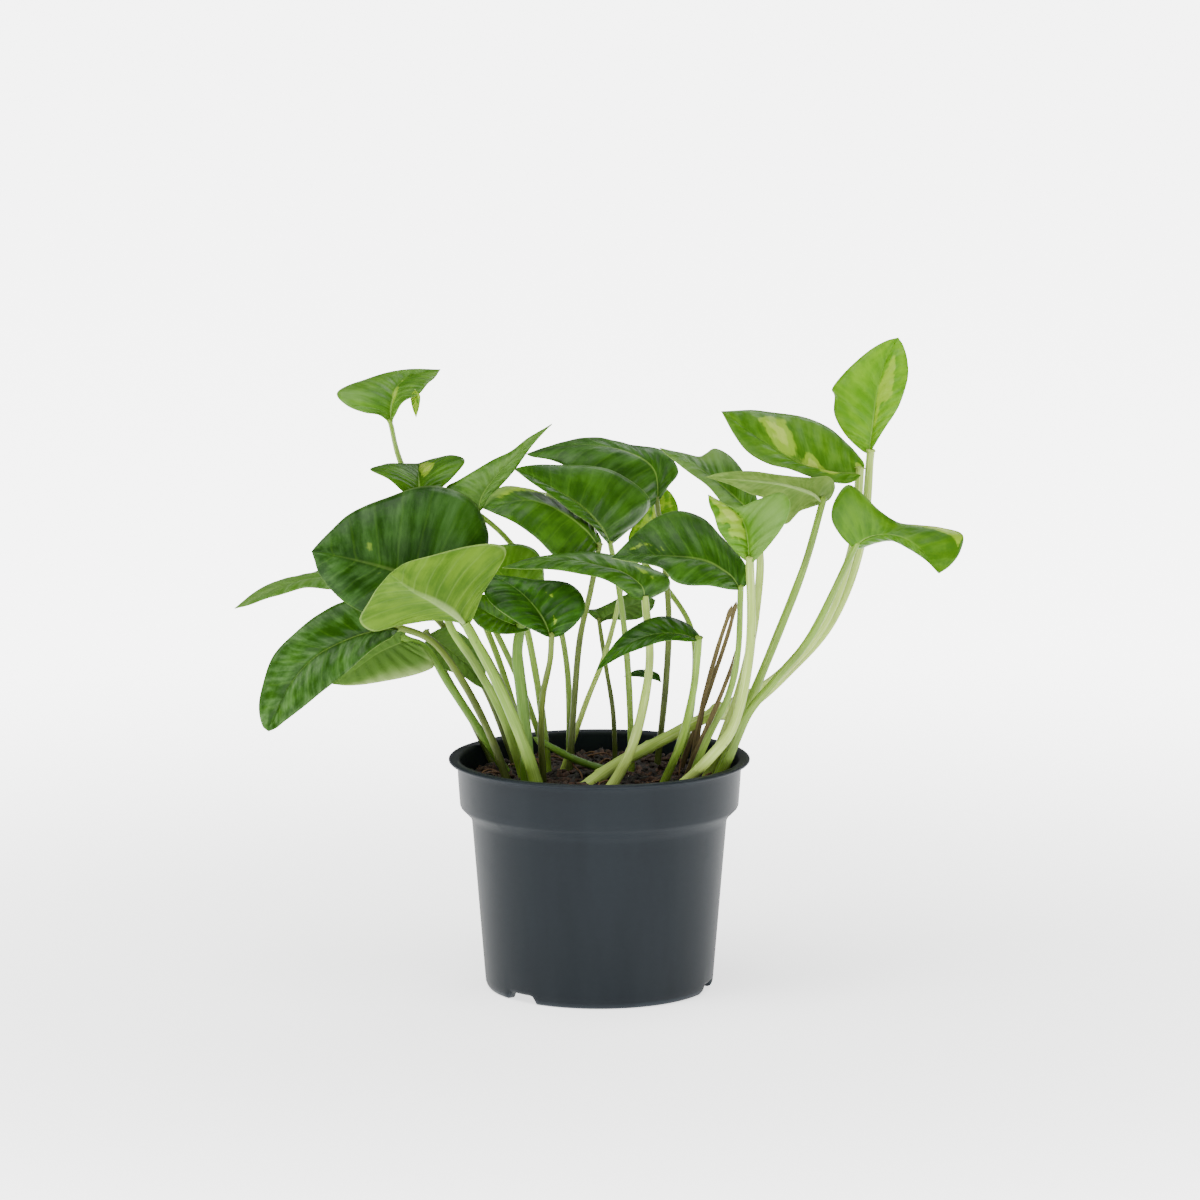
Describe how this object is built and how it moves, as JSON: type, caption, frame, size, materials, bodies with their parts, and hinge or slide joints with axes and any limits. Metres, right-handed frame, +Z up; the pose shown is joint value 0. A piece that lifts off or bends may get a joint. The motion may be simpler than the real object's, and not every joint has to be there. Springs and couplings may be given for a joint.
{
  "type": "potted pothos plant",
  "caption": "Golden pothos in a round plastic nursery pot: heart-shaped marbled leaves on long arching petioles that rise from dark potting soil.",
  "frame": {"origin": "on the pot's axis, at the plane the pot stands on (the plant reaches a little further to -X than to +X)", "axes": "+Z up along the pot's axis; +X to the side where the long pale vine leans out; -Y is the plant's fuller side"},
  "size_m": [0.313, 0.13, 0.2793],
  "materials": {
    "pot_plastic": "satin moulded polypropylene, slate grey",
    "potting_soil": "loose, dark, fibrous peat and bark with white perlite",
    "leaf_green": "waxy deep green",
    "leaf_gold": "waxy green, marbled with yellow",
    "leaf_pale": "matt pale green, the leaf's underside",
    "stem_green": "smooth, juicy pale green stem",
    "dry_sheath": "dry papery brown"
  },
  "bodies": {
    "root": {"dry_sheath": "dry_sheath", "leaf_behind_stems": "leaf_pale", "leaf_big_dark": "leaf_green", "leaf_centre_long": "leaf_green", "leaf_centre_right": "leaf_green", "leaf_centre_veined": "leaf_green", "leaf_far_left": "leaf_pale", "leaf_far_right": "leaf_green", "leaf_front_pale": "leaf_pale", "leaf_gold_behind": "leaf_gold", "leaf_half_gold": "leaf_gold", "leaf_low_dark": "leaf_green", "leaf_low_left": "leaf_green", "leaf_low_pale": "leaf_pale", "leaf_mid_left": "leaf_green", "leaf_pale_folded": "leaf_pale", "leaf_right_marbled": "leaf_gold", "leaf_right_twisted": "leaf_pale", "leaf_sliver": "leaf_green", "leaf_small_behind": "leaf_green", "leaf_small_low": "leaf_green", "leaf_small_round": "leaf_green", "leaf_spear": "leaf_pale", "leaf_top_centre": "leaf_green", "leaf_top_left": "leaf_green", "leaf_top_right": "leaf_gold", "leaf_upper_left_small": "leaf_gold", "leaf_upper_right": "leaf_gold", "petiole_behind_stems": "stem_green", "petiole_big_dark": "stem_green", "petiole_centre_long": "stem_green", "petiole_centre_right": "stem_green", "petiole_centre_veined": "stem_green", "petiole_far_left": "stem_green", "petiole_far_right": "stem_green", "petiole_front_pale": "stem_green", "petiole_gold_behind": "stem_green", "petiole_half_gold": "stem_green", "petiole_low_dark": "stem_green", "petiole_low_left": "stem_green", "petiole_low_pale": "stem_green", "petiole_mid_left": "stem_green", "petiole_pale_folded": "stem_green", "petiole_right_marbled": "stem_green", "petiole_right_twisted": "stem_green", "petiole_small_behind": "stem_green", "petiole_small_low": "stem_green", "petiole_small_round": "stem_green", "petiole_spear": "stem_green", "petiole_top_centre": "stem_green", "petiole_top_left": "stem_green", "petiole_top_right": "stem_green", "petiole_upper_left_small": "stem_green", "petiole_upper_right": "stem_green", "pot": "pot_plastic", "potting_soil": "potting_soil", "stem_sheathed": "stem_green", "stem_yellow": "stem_green", "vine_left": "stem_green", "vine_right": "stem_green"}
  },
  "joints": []
}
